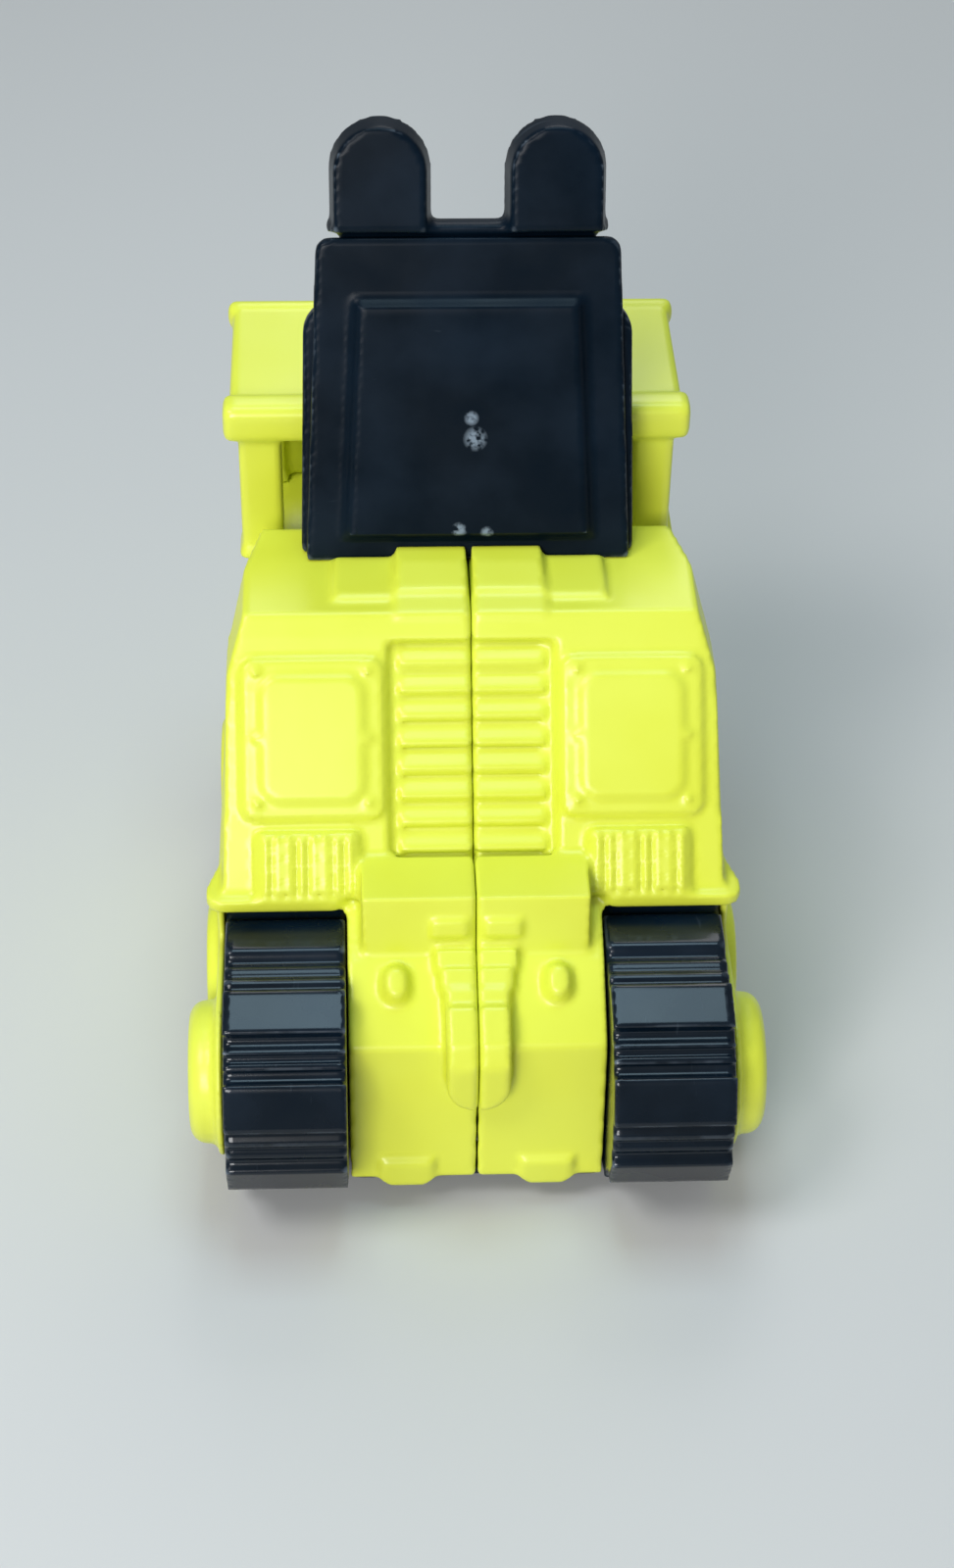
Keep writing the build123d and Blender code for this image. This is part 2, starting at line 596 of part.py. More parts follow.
with BuildPart() as right_side_frame:
    with BuildSketch(SIDE.offset(FRAME_IN)):
        with Locations((TRACK_MID, HUB_Z)):
            SlotCenterToCenter(HUB_SPAN, 2 * FRAME_R)
        with Locations((along((FRAME_REAR + FRAME_FRONT) / 2), (HUB_Z + FENDER_Z) / 2)):
            Rectangle(FRAME_FRONT - FRAME_REAR, FENDER_Z - HUB_Z)
    extrude(amount=FRAME_OUT - FRAME_IN)
    for place, radius, reach in ((REAR_HUB, HUB_R, HUB_OUT), (MIDDLE_HUB, MIDDLE_HUB_R, MIDDLE_HUB_OUT),
                                 (FRONT_HUB, HUB_R, FRONT_HUB_OUT)):
        rim = (reach - FRAME_OUT) * 0.6
        floor = reach - HUB_RIM_STEP
        with BuildSketch(Plane(origin=(0, along(place), HUB_Z), x_dir=(1, 0, 0), z_dir=(0, -1, 0))):
            with BuildLine():
                Polyline((FRAME_OUT - 1, 0), (FRAME_OUT - 1, radius), (reach - rim, radius))
                RadiusArc((reach - rim, radius), (reach, radius - rim), rim)
                Polyline((reach, radius - rim), (floor, radius - rim - 1.6), (floor, HUB_CAP_R),
                         (reach - 0.2, HUB_CAP_R - 0.8), (reach - 0.2, 0), (FRAME_OUT - 1, 0))
            make_face()
        revolve(axis=Axis((0, along(place), HUB_Z), (1, 0, 0)))
        with BuildSketch(SIDE.offset(TRACK_IN + TRACK_WEB)):
            with Locations((along(place), HUB_Z)):
                Circle(STUB_R)
        extrude(amount=FRAME_IN - TRACK_IN - TRACK_WEB)

with BuildPart() as left_side_frame:
    mirror(right_side_frame.part, about=Plane.YZ)

finish(right_side_frame, "right_side_frame")
finish(left_side_frame, "left_side_frame")

# ================= base plate, screws, axles and wheels =================

SCREW_SPOTS = [(side * SCREW_X, along(place)) for place in SCREW_PLACES for side in (-1, 1)]
BASE_Z = HULL_BOTTOM - BASE_THICK

with BuildPart() as base_plate:
    with BuildSketch(Plane.XY.offset(BASE_Z)):
        with Locations((0, along((BASE_REAR + NOSE_START) / 2))):
            Rectangle(2 * (HULL_HALF - BASE_GAP), NOSE_START - BASE_REAR)
        with Locations((0, along((NOSE_START + BASE_FRONT) / 2))):
            Rectangle(2 * (NOSE_HALF - BASE_GAP), BASE_FRONT - NOSE_START + 0.2)
        for axle in (REAR_AXLE, FRONT_AXLE):
            for side in (-1, 1):
                with Locations((side * (WHEEL_IN + 5), along(axle))):
                    Rectangle(12, 2 * (WHEEL_R + 1.2), mode=Mode.SUBTRACT)
    extrude(amount=BASE_THICK)
    for axle in (REAR_AXLE, FRONT_AXLE):
        for side in (-1, 1):
            with Locations((side * BEARING_X, along(axle), HULL_BOTTOM + 2.7)):
                Box(6.5, 7.0, 6.4)
        with BuildSketch(SIDE.offset(-HULL_HALF)):
            with Locations((along(axle), WHEEL_R)):
                Circle(AXLE_BORE_R)
        extrude(amount=2 * HULL_HALF, mode=Mode.SUBTRACT)
    with BuildSketch(Plane.XY.offset(BASE_Z)):
        with Locations(*SCREW_SPOTS):
            Circle(SCREW_R + 0.2)
    extrude(amount=BASE_THICK, mode=Mode.SUBTRACT)
    with BuildSketch(Plane.XY.offset(BASE_Z)):
        with Locations(*SCREW_SPOTS):
            Circle(SCREW_HEAD_R + 0.4)
    extrude(amount=SCREW_HEAD + 0.1, mode=Mode.SUBTRACT)

finish(base_plate, "base_plate")

# Four cross-slot screws, their heads sunk in the plate.
with BuildPart() as base_screws:
    with Locations(*[(x, y, BASE_Z + SCREW_HEAD + 0.1) for x, y in SCREW_SPOTS]):
        Cylinder(SCREW_R, SCREW_LENGTH, align=(Align.CENTER, Align.CENTER, Align.MIN))
        Cylinder(SCREW_HEAD_R, SCREW_HEAD, align=(Align.CENTER, Align.CENTER, Align.MAX))
        with Locations((0, 0, -SCREW_HEAD)):
            Box(2.6, 0.6, 1.0, mode=Mode.SUBTRACT)
            Box(0.6, 2.6, 1.0, mode=Mode.SUBTRACT)

finish(base_screws, "base_screws")

AXLE_HALF = WHEEL_OUT - AXLE_SHORT
WHEEL_WIDTH = WHEEL_OUT - WHEEL_IN
DISH_DEPTH = 1.8
DISH_RIM = 2.0
WHEEL_BOSS_R = 3.0
for axle_name, place in (("rear", REAR_AXLE), ("front", FRONT_AXLE)):
    with BuildPart() as axle_rod:
        with BuildSketch(SIDE.offset(-AXLE_HALF)):
            with Locations((along(place), WHEEL_R)):
                Circle(AXLE_R)
        extrude(amount=2 * AXLE_HALF)
    finish(axle_rod, f"{axle_name}_axle")
    for side_name, start in (("left", -WHEEL_OUT), ("right", WHEEL_IN)):
        with BuildPart() as wheel:
            with BuildSketch(SIDE.offset(start)):
                with Locations((along(place), WHEEL_R)):
                    Circle(WHEEL_R)
                    Circle(AXLE_R, mode=Mode.SUBTRACT)
            extrude(amount=WHEEL_WIDTH)
            rims = wheel.edges().filter_by(GeomType.CIRCLE).group_by(SortBy.LENGTH)[-1]
            chamfer(rims, length=0.7)
            for face_x, sense in ((start, 1), (start + WHEEL_WIDTH, -1)):
                with BuildSketch(SIDE.offset(face_x)):
                    with Locations((along(place), WHEEL_R)):
                        Circle(WHEEL_R - DISH_RIM)
                        Circle(WHEEL_BOSS_R, mode=Mode.SUBTRACT)
                extrude(amount=sense * DISH_DEPTH, mode=Mode.SUBTRACT)
        finish(wheel, f"{axle_name}_wheel_{side_name}")

# ================= black cab tower =================

with BuildPart() as tower_holes:
    with BuildSketch(TOWER.offset(-PANEL_THICK - TOWER_SCREW_GRIP)):
        with Locations(*TOWER_SCREWS):
            Circle(TOWER_SCREW_R)
    extrude(amount=TOWER_SCREW_GRIP + 1.6)

# Two screws hold the panel to the tower, driven from the cab side.
with BuildPart() as tower_screws:
    add(tower_holes.part)
    with BuildSketch(TOWER.offset(-PANEL_THICK - TOWER_SCREW_GRIP)):
        with Locations(*TOWER_SCREWS):
            Circle(2 * TOWER_SCREW_R)
    extrude(amount=-1.2)

finish(tower_screws, "tower_screws")

# The back panel: a trapezoid with a raised, bevelled centre, its foot level on the deck.
with BuildPart() as cab_back_panel:
    with BuildSketch(TOWER.offset(-PANEL_THICK)):
        with BuildLine():
            Polyline((-PANEL_BOTTOM_HALF, -BELOW_DECK), (PANEL_BOTTOM_HALF, -BELOW_DECK),
                     (PANEL_TOP_HALF, PANEL_HEIGHT), (-PANEL_TOP_HALF, PANEL_HEIGHT), close=True)
        make_face()
        fillet(vertices().group_by(Axis.Y)[-1], radius=3.5)
    extrude(amount=PANEL_THICK, taper=4)
    with BuildSketch(TOWER.offset(-0.4)):
        with BuildLine():
            Polyline((-BEVEL_BOTTOM_HALF, BEVEL_FOOT), (BEVEL_BOTTOM_HALF, BEVEL_FOOT),
                     (BEVEL_TOP_HALF, BEVEL_TOP), (-BEVEL_TOP_HALF, BEVEL_TOP), close=True)
        make_face()
        fillet(vertices().group_by(Axis.Y)[-1], radius=1.5)
    extrude(amount=BEVEL_RISE + 0.4, taper=34)
    add(tower_holes.part, mode=Mode.SUBTRACT)
    split(bisect_by=Plane.XY.offset(DECK_Z))

finish(cab_back_panel, "cab_back_panel")

# The tower behind it: hollow from the cab side, with two pegs that plug into the deck.
TOWER_BACK = TOWER.offset(-PANEL_THICK - TOWER_THICK)
with BuildPart() as cab_tower:
    with BuildSketch(TOWER_BACK):
        with BuildLine():
            Polyline((-TOWER_HALF, -BELOW_DECK), (TOWER_HALF, -BELOW_DECK),
                     (TOWER_HALF - TOWER_TAPER, TOWER_HEIGHT), (-TOWER_HALF + TOWER_TAPER, TOWER_HEIGHT),
                     close=True)
        make_face()
        fillet(vertices().group_by(Axis.Y)[-1], radius=7.0)
    extrude(amount=TOWER_THICK)
    with BuildSketch(TOWER_BACK):
        with Locations((0, TOWER_HEIGHT / 2 + 2)):
            RectangleRounded(2 * TOWER_HALF - 10, TOWER_HEIGHT - 13, 3)
    extrude(amount=TOWER_THICK - TOWER_SCREW_GRIP, mode=Mode.SUBTRACT)
    add(tower_holes.part, mode=Mode.SUBTRACT)
    split(bisect_by=Plane.XY.offset(DECK_Z))
    with BuildSketch(Plane.XY.offset(DECK_Z - PEG_BELOW)):
        with Locations((-PEG_X, along(PEG_PLACE)), (PEG_X, along(PEG_PLACE))):
            Circle(PEG_R)
    extrude(amount=PEG_BELOW + 1.0)

finish(cab_tower, "cab_tower")

# Two round-topped uprights on a common foot, with a low bar between them.
with BuildPart() as twin_uprights:
    for side in (-1, 1):
        with BuildSketch(TOWER.offset(-UPRIGHT_BACK)):
            with Locations((side * UPRIGHT_X, PANEL_HEIGHT + UPRIGHT_RISE / 2)):
                Rectangle(2 * UPRIGHT_HALF, UPRIGHT_RISE)
            with Locations((side * UPRIGHT_X, PANEL_HEIGHT + UPRIGHT_RISE)):
                Circle(UPRIGHT_HALF)
        extrude(amount=UPRIGHT_DEPTH, taper=9)
        with BuildSketch(TOWER.offset(-UPRIGHT_BACK)):
            with Locations((side * UPRIGHT_X, PANEL_HEIGHT + UPRIGHT_FOOT[1] / 2)):
                Rectangle(*UPRIGHT_FOOT)
        extrude(amount=UPRIGHT_DEPTH + 0.5, taper=9)
    with BuildSketch(TOWER.offset(-UPRIGHT_BACK + 0.5)):
        with Locations((0, PANEL_HEIGHT + LOW_BAR[1] / 2)):
            Rectangle(*LOW_BAR)
    extrude(amount=LOW_BAR_DEPTH, taper=5)
    with BuildSketch(TOWER.offset(-PANEL_THICK)):
        with Locations((0, (TOWER_HEIGHT + PANEL_HEIGHT + 3) / 2)):
            Rectangle(2 * (UPRIGHT_X + 9), PANEL_HEIGHT - TOWER_HEIGHT + 3)
    extrude(amount=-4.5)

finish(twin_uprights, "twin_uprights")

# ================= canopy =================

# One rounded bar across the roof, at its rear or front end.
LIPS = ((REAR_LIP_HALF, REAR_LIP_SIZE, ROOF_REAR + 4.4, 1.4),
        (FRONT_LIP_HALF, FRONT_LIP_SIZE, ROOF_FRONT - 3.2, 0))
with BuildPart() as roof_lips:
    for half, size, place, drop in LIPS:
        with BuildSketch(SIDE.offset(ROOF_SHIFT - half)):
            with Locations((along(place), ROOF_BOTTOM - drop + size[1] / 2)):
                RectangleRounded(*size, LIP_CORNER)
        extrude(amount=2 * half)
    ends = roof_lips.faces().filter_by(Axis.X).edges()
    fillet(ends, radius=2.0)

with BuildPart() as roll_over_canopy:
    with BuildSketch(Plane.XY.offset(ROOF_BOTTOM)):
        with Locations((ROOF_SHIFT, along((ROOF_REAR + ROOF_FRONT) / 2))):
            RectangleRounded(2 * ROOF_HALF, ROOF_FRONT - ROOF_REAR - 2, 4.0)
    extrude(amount=ROOF_THICK, taper=6)
    add(roof_lips.part)
    for side in (-1, 1):
        middle = ROOF_SHIFT + side * (POST_IN + POST_OUT) / 2
        for place in (REAR_POST, FRONT_POST):
            with BuildSketch(Plane.XY.offset(SILL_Z)):
                with Locations((middle, along(place))):
                    RectangleRounded(POST_OUT - POST_IN, POST_DEPTH, 1.4)
            extrude(amount=ROOF_BOTTOM - SILL_Z + 1)
            with BuildSketch(Plane.XY.offset(SILL_Z)):
                with Locations((middle, along(place))):
                    RectangleRounded(POST_OUT - POST_IN + 2.0, POST_DEPTH + 3.0, 2.0)
            extrude(amount=3.0, taper=18)
    with Locations((ROOF_SHIFT, along(FRONT_POST), SILL_Z + CROSS_BAR_HEIGHT / 2)):
        Box(2 * POST_IN + 1.0, 2.4, CROSS_BAR_HEIGHT)

finish(roll_over_canopy, "roll_over_canopy")

# ================= cab interior =================

with BuildPart() as driver_seat:
    with BuildSketch(SIDE.offset(-SEAT_HALF)):
        Polygon(*side_points(*[(place, SILL_Z + height) for place, height in SEAT_SIDE]), align=None)
    extrude(amount=2 * SEAT_HALF)
    fillet(driver_seat.edges().filter_by(Axis.X).group_by(Axis.Z)[-1], radius=1.4)

finish(driver_seat, "driver_seat")

with BuildPart() as control_console:
    with Locations((0, along(CONSOLE_PLACE), SILL_Z + CONSOLE_SIZE[2] / 2)):
        Box(*CONSOLE_SIZE)
    for side in (-1, 1):
        with Locations((side * LEVER_X, along(CONSOLE_PLACE), SILL_Z + CONSOLE_SIZE[2] - 2)):
            Cylinder(LEVER_R, LEVER_HEIGHT, align=(Align.CENTER, Align.CENTER, Align.MIN))
        with Locations((side * LEVER_X, along(CONSOLE_PLACE), SILL_Z + CONSOLE_SIZE[2] - 2 + LEVER_HEIGHT)):
            Sphere(LEVER_KNOB_R)

finish(control_console, "control_console")

# ================= blade and its arms =================

BLADE_BACK = LENGTH - 10.0
with BuildPart() as blade:
    with BuildSketch(SIDE.offset(-BLADE_HALF)):
        with BuildLine():
            ThreePointArc(*side_points((LENGTH, BLADE_BOTTOM), (LENGTH - BLADE_HOLLOW, BLADE_MIDDLE),
                                       (LENGTH - 1, BLADE_TOP)))
            Line(*side_points((LENGTH - 1, BLADE_TOP), (LENGTH - 1 - BLADE_LIP_TOP, BLADE_TOP)))
            ThreePointArc(*side_points((LENGTH - 1 - BLADE_LIP_TOP, BLADE_TOP), (BLADE_BACK, BLADE_MIDDLE),
                                       (LENGTH - BLADE_LIP_FOOT, BLADE_BOTTOM)))
            Line(*side_points((LENGTH - BLADE_LIP_FOOT, BLADE_BOTTOM), (LENGTH, BLADE_BOTTOM)))
        make_face()
    extrude(amount=2 * BLADE_HALF)
    for height in (BLADE_MIDDLE - BLADE_RIB_OFFSET, BLADE_MIDDLE + BLADE_RIB_OFFSET):
        with Locations((0, along(BLADE_BACK - 0.6), height)):
            Box(*BLADE_RIB)

finish(blade, "blade")

# The arms lie beside the nose, so each is a flat bar from the pin to the blade's back.
with BuildPart() as right_push_arm:
    with BuildSketch(SIDE.offset(ARM_IN)):
        with Locations((along(PIVOT_Y), PIVOT_Z)):
            Circle(ARM_EYE_R)
        Polygon(*side_points(*ARM_SIDE), align=None)
        with Locations((along(PIVOT_Y), PIVOT_Z)):
            Circle(PIN_R + PIN_GAP, mode=Mode.SUBTRACT)
    extrude(amount=ARM_OUT - ARM_IN)
    add(blade.part, mode=Mode.SUBTRACT)

with BuildPart() as left_push_arm:
    mirror(right_push_arm.part, about=Plane.YZ)

finish(right_push_arm, "right_push_arm")
finish(left_push_arm, "left_push_arm")

with BuildPart() as arm_pivot_pin:
    with BuildSketch(SIDE.offset(-ARM_OUT - PIN_SHOW)):
        with Locations((along(PIVOT_Y), PIVOT_Z)):
            Circle(PIN_R)
    extrude(amount=2 * (ARM_OUT + PIN_SHOW))

finish(arm_pivot_pin, "arm_pivot_pin")
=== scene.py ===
"""Looks for the toy bulldozer: soft moulded edges, glossy plastics, wear, painted shade in the yellow's
creases, painted highlights on the black's edges, and a plain studio.
"""
import bpy
import json
from math import cos, radians, sin
from mathutils import Matrix, Vector


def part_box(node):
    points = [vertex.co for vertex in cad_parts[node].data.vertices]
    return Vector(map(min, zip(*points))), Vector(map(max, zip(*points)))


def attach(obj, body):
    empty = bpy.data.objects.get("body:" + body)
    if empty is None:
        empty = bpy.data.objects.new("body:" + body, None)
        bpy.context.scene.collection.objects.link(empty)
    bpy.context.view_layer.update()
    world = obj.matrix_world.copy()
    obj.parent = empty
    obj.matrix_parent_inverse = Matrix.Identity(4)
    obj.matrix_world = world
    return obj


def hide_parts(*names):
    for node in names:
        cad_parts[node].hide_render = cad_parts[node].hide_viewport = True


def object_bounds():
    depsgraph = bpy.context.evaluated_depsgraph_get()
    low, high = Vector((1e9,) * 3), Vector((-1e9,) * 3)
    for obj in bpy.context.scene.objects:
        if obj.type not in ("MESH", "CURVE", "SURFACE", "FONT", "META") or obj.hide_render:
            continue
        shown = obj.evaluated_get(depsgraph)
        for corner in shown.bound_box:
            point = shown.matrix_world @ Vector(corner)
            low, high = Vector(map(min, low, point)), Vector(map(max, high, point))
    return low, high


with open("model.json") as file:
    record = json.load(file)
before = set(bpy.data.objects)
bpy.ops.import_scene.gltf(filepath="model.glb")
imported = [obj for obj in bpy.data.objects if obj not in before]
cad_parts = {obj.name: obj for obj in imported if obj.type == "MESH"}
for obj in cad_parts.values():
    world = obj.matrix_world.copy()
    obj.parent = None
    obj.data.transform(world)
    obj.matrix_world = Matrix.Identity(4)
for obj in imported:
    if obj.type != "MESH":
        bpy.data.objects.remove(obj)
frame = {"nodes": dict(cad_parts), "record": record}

CAD_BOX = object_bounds()

# ---- camera: behind, above and a little to the left of the toy, in metres ----
CAMERA_AT = Vector((-0.0247, -0.5219, 0.5036))
CAMERA_AZIMUTH = radians(-3.0)
CAMERA_PITCH = radians(40.75)
CAMERA_ROLL = radians(1.2)
CAMERA_LENS = 65.25

# ---- moulded surfaces, in metres ----
VOXEL = 0.00082
SMOOTH_FACTOR = 0.5
SMOOTH_PASSES = 4
FLAT_ANGLE = radians(0.5)

# ---- colours ----
YELLOW = (0.80, 0.865, 0.075, 1.0)
YELLOW_DEEP = (0.77, 0.815, 0.052, 1.0)
YELLOW_PALE = (0.84, 0.90, 0.13, 1.0)
# painted shade: the olive that darkens the yellow's creases
YELLOW_CREASE_SHADE = (0.56, 0.60, 0.020, 1.0)
BLACK = (0.0012, 0.0055, 0.0115, 1.0)
BLACK_DUSTY = (0.0032, 0.0110, 0.0230, 1.0)
# pale grey-blue for scuffs, scratches and rubbed spots, and the painted highlight on the black's sharp
# edges
SCUFF_AND_EDGE_HIGHLIGHT = (0.20, 0.25, 0.31, 1.0)
STEEL_DARK = (0.35, 0.35, 0.36, 1.0)
STEEL_BRIGHT = (0.6, 0.6, 0.62, 1.0)
FLOOR_GREY = (0.62, 0.62, 0.61, 1.0)
SKY = (0.88, 0.95, 1.0, 1.0)
SKY_STRENGTH = 0.25

# ---- the ends of a ramp that carries a number ----
ZERO = (0.0, 0.0, 0.0, 1.0)
ONE = (1.0, 1.0, 1.0, 1.0)

# ---- black plastic: how much finer its scratches are along each axis, and how it shines ----
FINE_ALONG_X = (9.0, 1.0, 1.0)
FINE_ALONG_Y = (1.0, 9.0, 1.0)
SCRATCH_STRENGTH = 0.12
ROUGHNESS_SPREAD = 0.16
BLACK_SPECULAR = 0.12

# ---- rubbed spots on the back panel: metres right of the middle, share of its height, radius ----
PANEL_SPOTS = [(0.0015, 0.411, 0.0021), (0.0006, 0.475, 0.0013), (-0.0022, 0.122, 0.0014),
               (0.0042, 0.112, 0.0012)]

# ---- a spot is solid out to the first share of its radius, and gone by the second ----
SPOT_SOLID = 0.6
SPOT_GONE = 1.4
RADIUS_ON_RAMP = 0.25

# ---- studio: the floor's reach from the middle, and each lamp's place, power, side and colour ----
FLOOR_REACH = 4.0
WHITE_LIGHT = (1.0, 1.0, 1.0)
BLUE_LIGHT = (0.58, 0.84, 1.0)
LAMPS = {
    "key": ((-0.55, -0.35, 0.95), 3.8, 0.35, WHITE_LIGHT),
    "fill": ((-0.35, -1.0, 0.6), 7.3, 0.4, WHITE_LIGHT),
    "rim": ((0.1, 0.9, 0.95), 2.6, 0.5, WHITE_LIGHT),
    "top": ((0.0, 0.12, 1.05), 2.8, 0.42, BLUE_LIGHT),
}


# ================= materials =================

def new_material(name):
    """A node material, its tree's nodes and links, and its main shader."""
    material = bpy.data.materials.new(name)
    material.use_nodes = True
    tree = material.node_tree
    return material, tree.nodes, tree.links, tree.nodes["Principled BSDF"]


def noise(nodes, links, scale, detail=4.0, stretch=None):
    """A noise texture's factor over the object's own space, in metres."""
    place = nodes.new("ShaderNodeTexCoord")
    texture = nodes.new("ShaderNodeTexNoise")
    texture.inputs["Scale"].default_value = scale
    texture.inputs["Detail"].default_value = detail
    source = place.outputs["Object"]
    if stretch:
        mapping = nodes.new("ShaderNodeMapping")
        mapping.inputs["Scale"].default_value = stretch
        links.new(source, mapping.inputs["Vector"])
        source = mapping.outputs["Vector"]
    links.new(source, texture.inputs["Vector"])
    return texture.outputs["Fac"]


def ramp(nodes, links, source, low, high, first=ZERO, last=ONE):
    """source turned into a colour that runs from first at low to last at high."""
    made = nodes.new("ShaderNodeValToRGB")
    made.color_ramp.elements[0].position = low
    made.color_ramp.elements[0].color = first
    made.color_ramp.elements[1].position = high
    made.color_ramp.elements[1].color = last
    links.new(source, made.inputs["Fac"])
    return made.outputs["Color"]


def mix_colour(nodes, links, factor, first, second):
    """first and second mixed by factor; either may be a colour or a socket."""
    made = nodes.new("ShaderNodeMix")
    made.data_type = "RGBA"
    links.new(factor, made.inputs["Factor"])
    for socket, value in (("A", first), ("B", second)):
        target = [i for i in made.inputs if i.name == socket and i.type == "RGBA"][0]
        if isinstance(value, bpy.types.NodeSocket):
            links.new(value, target)
        else:
            target.default_value = value
    return [o for o in made.outputs if o.type == "RGBA"][0]


def times(nodes, links, first, second):
    """The product of two sockets, or of a socket and a number."""
    made = nodes.new("ShaderNodeMath")
    made.operation = "MULTIPLY"
    links.new(first, made.inputs[0])
    if isinstance(second, bpy.types.NodeSocket):
        links.new(second, made.inputs[1])
    else:
        made.inputs[1].default_value = second
    return made.outputs[0]


def bump(nodes, links, shader, height, distance, strength):
    """Gives the shader a bump from a height socket."""
    made = nodes.new("ShaderNodeBump")
    made.inputs["Distance"].default_value = distance
    made.inputs["Strength"].default_value = strength
    links.new(height, made.inputs["Height"])
    links.new(made.outputs["Normal"], shader.inputs["Normal"])


def patchy_sharp_edges(nodes, links, low, high):
    """Where the surface turns outward sharply, broken up by noise."""
    shape = nodes.new("ShaderNodeNewGeometry")
    edges = ramp(nodes, links, shape.outputs["Pointiness"], low, high)
    patches = ramp(nodes, links, noise(nodes, links, scale=160.0), low=0.44, high=0.62)
    return times(nodes, links, edges, patches)


def creases(nodes, links, low, high):
    """Where the surface turns inward sharply: the mask for the painted crease shade."""
    shape = nodes.new("ShaderNodeNewGeometry")
    return ramp(nodes, links, shape.outputs["Pointiness"], low, high, first=ONE, last=ZERO)


def rubbed(nodes, links, spots):
    """Small rubbed spots with ragged outlines, round given points seen from behind."""
    point = nodes.new("ShaderNodeTexCoord")
    seen_from_behind = nodes.new("ShaderNodeVectorMath")
    seen_from_behind.operation = "MULTIPLY"
    seen_from_behind.inputs[1].default_value = (1, 0, 1)
    links.new(point.outputs["Object"], seen_from_behind.inputs[0])
    broken = ramp(nodes, links, noise(nodes, links, scale=700.0), low=0.40, high=0.56)
    total = None
    for place, radius in spots:
        away = nodes.new("ShaderNodeVectorMath")
        away.operation = "DISTANCE"
        away.inputs[1].default_value = place
        links.new(seen_from_behind.outputs["Vector"], away.inputs[0])
        share = times(nodes, links, away.outputs["Value"], RADIUS_ON_RAMP / radius)
        near = ramp(nodes, links, share, RADIUS_ON_RAMP * SPOT_SOLID, RADIUS_ON_RAMP * SPOT_GONE,
                    first=ONE, last=ZERO)
        spot = times(nodes, links, near, broken)
        if total is None:
            total = spot
        else:
            joined = nodes.new("ShaderNodeMath")
            joined.operation = "MAXIMUM"
            links.new(total, joined.inputs[0])
            links.new(spot, joined.inputs[1])
            total = joined.outputs[0]
    return total


def grey(value):
    """A grey colour for a ramp that carries a number."""
    return (value, value, value, 1)


def yellow_plastic():
    """Glossy lemon-lime plastic with faint flow marks, and painted shade darkening its creases."""
    material, nodes, links, shader = new_material("yellow_plastic")
    flow = noise(nodes, links, scale=22.0, detail=3.0)
    tone = ramp(nodes, links, flow, low=0.35, high=0.65, first=YELLOW_DEEP, last=YELLOW)
    # painted shade: the yellow darkened towards olive in its creases
    crease_shade = creases(nodes, links, low=0.40, high=0.49)
    tone = mix_colour(nodes, links, crease_shade, tone, YELLOW_CREASE_SHADE)
    pale_edges = patchy_sharp_edges(nodes, links, low=0.53, high=0.60)
    links.new(mix_colour(nodes, links, pale_edges, tone, YELLOW_PALE), shader.inputs["Base Color"])
    patches = noise(nodes, links, scale=60.0)
    sheen = ramp(nodes, links, patches, low=0.3, high=0.7, first=grey(0.30), last=grey(0.42))
    links.new(sheen, shader.inputs["Roughness"])
    shader.inputs["Coat Weight"].default_value = 0.15
    shader.inputs["Coat Roughness"].default_value = 0.2
    ripple = noise(nodes, links, scale=45.0, detail=2.0)
    bump(nodes, links, shader, ripple, distance=0.0004, strength=0.25)
    return material


def black_plastic(name, streaks, roughness, coat, spots=()):
    """Glossy black plastic, pale at its edges from scuffs and a painted highlight, and streaked with fine
    scratches.
    """
    material, nodes, links, shader = new_material(name)
    dust = noise(nodes, links, scale=35.0, detail=5.0)
    tone = ramp(nodes, links, dust, low=0.4, high=0.7, first=BLACK, last=BLACK_DUSTY)
    lines = noise(nodes, links, scale=60.0, detail=6.0, stretch=streaks)
    scratched = times(nodes, links, ramp(nodes, links, lines, low=0.68, high=0.76), SCRATCH_STRENGTH)
    tone = mix_colour(nodes, links, scratched, tone, SCUFF_AND_EDGE_HIGHLIGHT)
    if spots:
        tone = mix_colour(nodes, links, rubbed(nodes, links, spots), tone, SCUFF_AND_EDGE_HIGHLIGHT)
    # pale edges: partly scuffs, partly a painted highlight along the sharp outer edges
    pale_edges = patchy_sharp_edges(nodes, links, low=0.535, high=0.60)
    links.new(mix_colour(nodes, links, pale_edges, tone, SCUFF_AND_EDGE_HIGHLIGHT), shader.inputs["Base Color"])
    patches = noise(nodes, links, scale=70.0, detail=5.0)
    sheen = ramp(nodes, links, patches, low=0.3, high=0.75,
                 first=grey(roughness), last=grey(roughness + ROUGHNESS_SPREAD))
    links.new(sheen, shader.inputs["Roughness"])
    shader.inputs["Specular IOR Level"].default_value = BLACK_SPECULAR
    shader.inputs["Coat Weight"].default_value = coat
    shader.inputs["Coat Roughness"].default_value = 0.12
    ripple = noise(nodes, links, scale=38.0, detail=2.0)
    bump(nodes, links, shader, ripple, distance=0.0006, strength=0.35)
    return material


def steel():
    """Plain zinc-plated steel."""
    material, nodes, links, shader = new_material("steel")
    grain = noise(nodes, links, scale=400.0)
    tone = ramp(nodes, links, grain, low=0.3, high=0.7, first=STEEL_DARK, last=STEEL_BRIGHT)
    links.new(tone, shader.inputs["Base Color"])
    shader.inputs["Metallic"].default_value = 1.0
    fine_grain = noise(nodes, links, scale=900.0)
    sheen = ramp(nodes, links, fine_grain, low=0.3, high=0.7, first=grey(0.25), last=grey(0.45))
    links.new(sheen, shader.inputs["Roughness"])
    return material


def panel_spots():
    """The back panel's rubbed spots, as points without depth and their radii."""
    low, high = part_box("cab_back_panel")
    tall = high[2] - low[2]
    return [((right, 0, low[2] + tall * share), radius) for right, share, radius in PANEL_SPOTS]


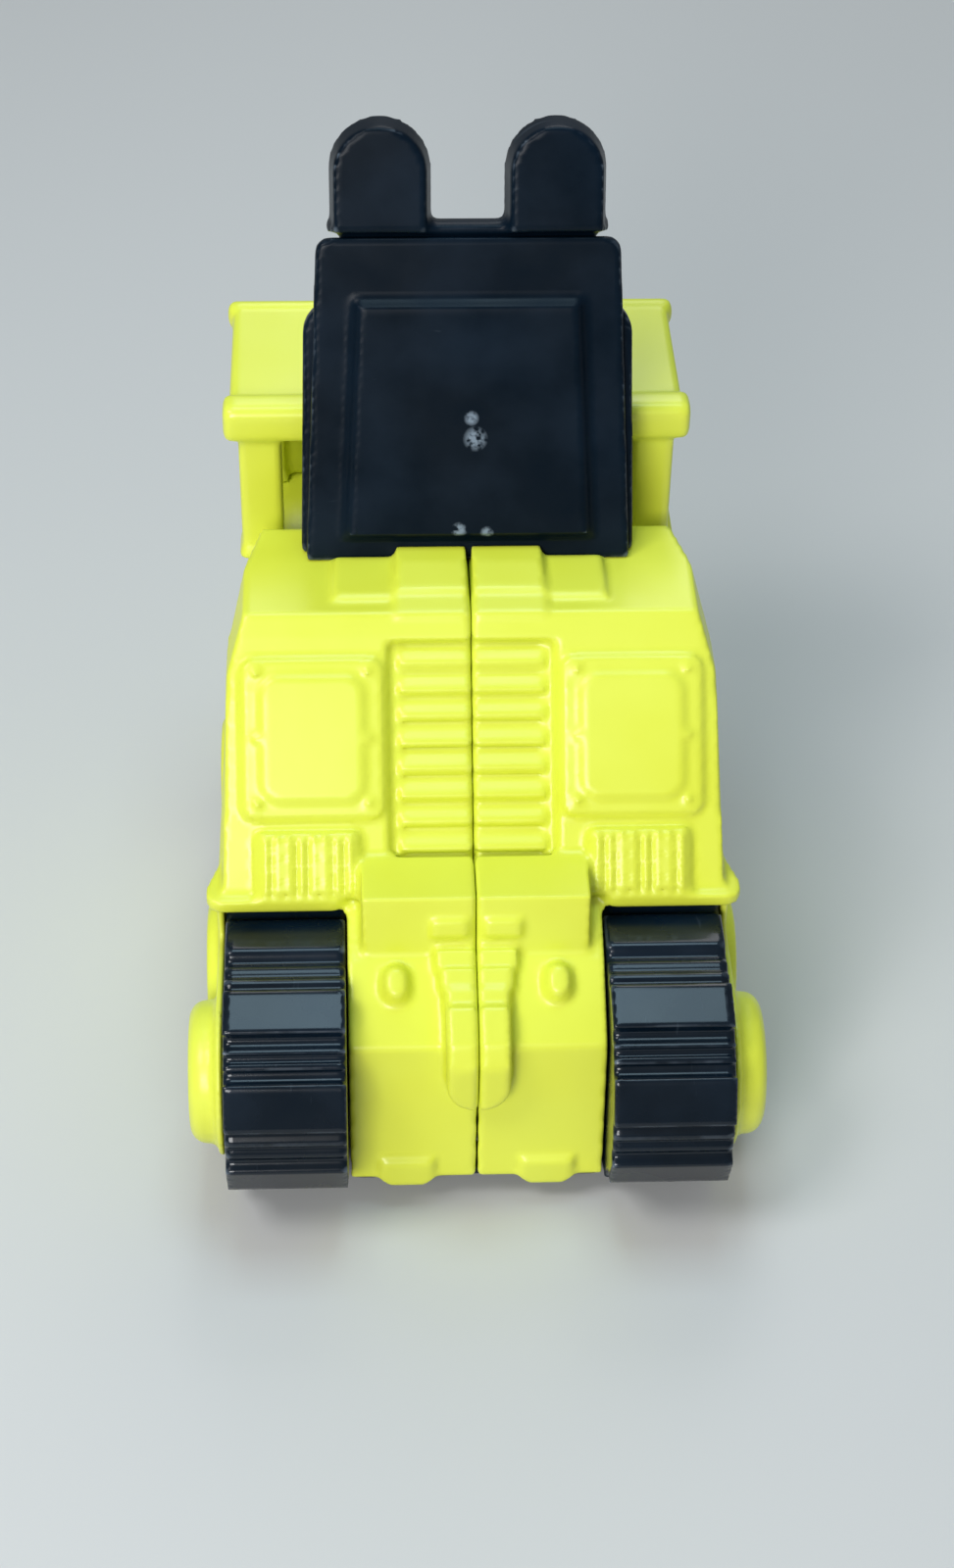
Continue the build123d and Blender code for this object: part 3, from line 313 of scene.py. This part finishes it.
MATERIALS = {
    "yellow_plastic": yellow_plastic(),
    "black_plastic": black_plastic("black_plastic", FINE_ALONG_Y, roughness=0.26, coat=0.0),
    "track_plastic": black_plastic("track_plastic", FINE_ALONG_X, roughness=0.20, coat=0.5),
    "panel_plastic": black_plastic("panel_plastic", FINE_ALONG_Y, roughness=0.28, coat=0.0,
                                   spots=panel_spots()),
    "steel": steel(),
}
SPECIAL = {"left_track": "track_plastic", "right_track": "track_plastic", "cab_back_panel": "panel_plastic"}
SLOT_OF = {row["node"]: row["material_slot"] for row in frame["record"]["subparts"]}
BODY_OF = {node: body for body, nodes in frame["record"]["behaviour"]["bodies"].items() for node in nodes}


# ================= pieces =================

def moulded(node):
    """A copy of a CAD node with the soft edges of a moulding, which stands for it."""
    source = frame["nodes"][node]
    piece = bpy.data.objects.new(f"{node}_moulded", source.data.copy())
    bpy.context.scene.collection.objects.link(piece)
    remesh = piece.modifiers.new("remesh", "REMESH")
    remesh.mode = "VOXEL"
    remesh.voxel_size = VOXEL
    smooth = piece.modifiers.new("smooth", "SMOOTH")
    smooth.factor = SMOOTH_FACTOR
    smooth.iterations = SMOOTH_PASSES
    flatten = piece.modifiers.new("flatten", "DECIMATE")
    flatten.decimate_type = "DISSOLVE"
    flatten.angle_limit = FLAT_ANGLE
    graph = bpy.context.evaluated_depsgraph_get()
    mesh = bpy.data.meshes.new_from_object(piece.evaluated_get(graph))
    piece.modifiers.clear()
    piece.data = mesh
    mesh.materials.clear()
    mesh.materials.append(MATERIALS[SPECIAL.get(node, SLOT_OF[node])])
    for polygon in mesh.polygons:
        polygon.material_index = 0
        polygon.use_smooth = True
    weighted = piece.modifiers.new("weighted", "WEIGHTED_NORMAL")
    weighted.keep_sharp = True
    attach(piece, BODY_OF[node])
    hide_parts(node)
    return piece


def dress(node):
    """Gives a CAD node that stays as it is its procedural material."""
    holder = frame["nodes"][node]
    if not holder.material_slots:
        holder.data.materials.append(None)
    for place in holder.material_slots:
        place.material = MATERIALS[SLOT_OF[node]]


for node in sorted(SLOT_OF):
    if SLOT_OF[node] == "steel":
        dress(node)
    else:
        moulded(node)


# ================= studio =================

def floor():
    """A plain pale floor under the toy."""
    reach = FLOOR_REACH
    mesh = bpy.data.meshes.new("floor")
    corners = [(-reach, -reach, 0), (reach, -reach, 0), (reach, reach, 0), (-reach, reach, 0)]
    mesh.from_pydata(corners, [], [(0, 1, 2, 3)])
    made = bpy.data.objects.new("floor", mesh)
    bpy.context.scene.collection.objects.link(made)
    material, _, _, shader = new_material("floor")
    shader.inputs["Base Color"].default_value = FLOOR_GREY
    shader.inputs["Roughness"].default_value = 0.6
    mesh.materials.append(material)


def lamp(name, place, aim, power, side, colour):
    """A soft square light at place, facing aim."""
    data = bpy.data.lights.new(name, "AREA")
    data.energy = power
    data.size = side
    data.color = colour
    made = bpy.data.objects.new(name, data)
    bpy.context.scene.collection.objects.link(made)
    made.location = place
    made.rotation_mode = "QUATERNION"
    made.rotation_quaternion = (Vector(aim) - Vector(place)).to_track_quat("-Z", "Y")


def camera():
    """The camera at the photograph's viewing angle."""
    data = bpy.data.cameras.new("camera")
    data.lens = CAMERA_LENS
    data.sensor_width = 36.0
    data.clip_start = 0.01
    data.clip_end = 50.0
    made = bpy.data.objects.new("camera", data)
    bpy.context.scene.collection.objects.link(made)
    back = Vector((sin(CAMERA_AZIMUTH) * cos(CAMERA_PITCH), -cos(CAMERA_AZIMUTH) * cos(CAMERA_PITCH),
                   sin(CAMERA_PITCH)))
    level = Vector((0, 0, 1)).cross(back).normalized()
    rise = back.cross(level)
    right = level * cos(CAMERA_ROLL) + rise * sin(CAMERA_ROLL)
    up = back.cross(right)
    turn = Matrix((right, up, back)).transposed()
    made.matrix_world = Matrix.Translation(CAMERA_AT) @ turn.to_4x4()
    bpy.context.scene.camera = made


def sky():
    """A pale, even light from all round."""
    world = bpy.data.worlds.new("world")
    world.use_nodes = True
    background = world.node_tree.nodes["Background"]
    background.inputs["Color"].default_value = SKY
    background.inputs["Strength"].default_value = SKY_STRENGTH
    bpy.context.scene.world = world


floor()
camera()
MIDDLE = (CAD_BOX[0] + CAD_BOX[1]) / 2
for name, (place, power, side, colour) in LAMPS.items():
    lamp(name, place, MIDDLE, power, side, colour)
sky()
bpy.context.scene.view_settings.view_transform = "Standard"
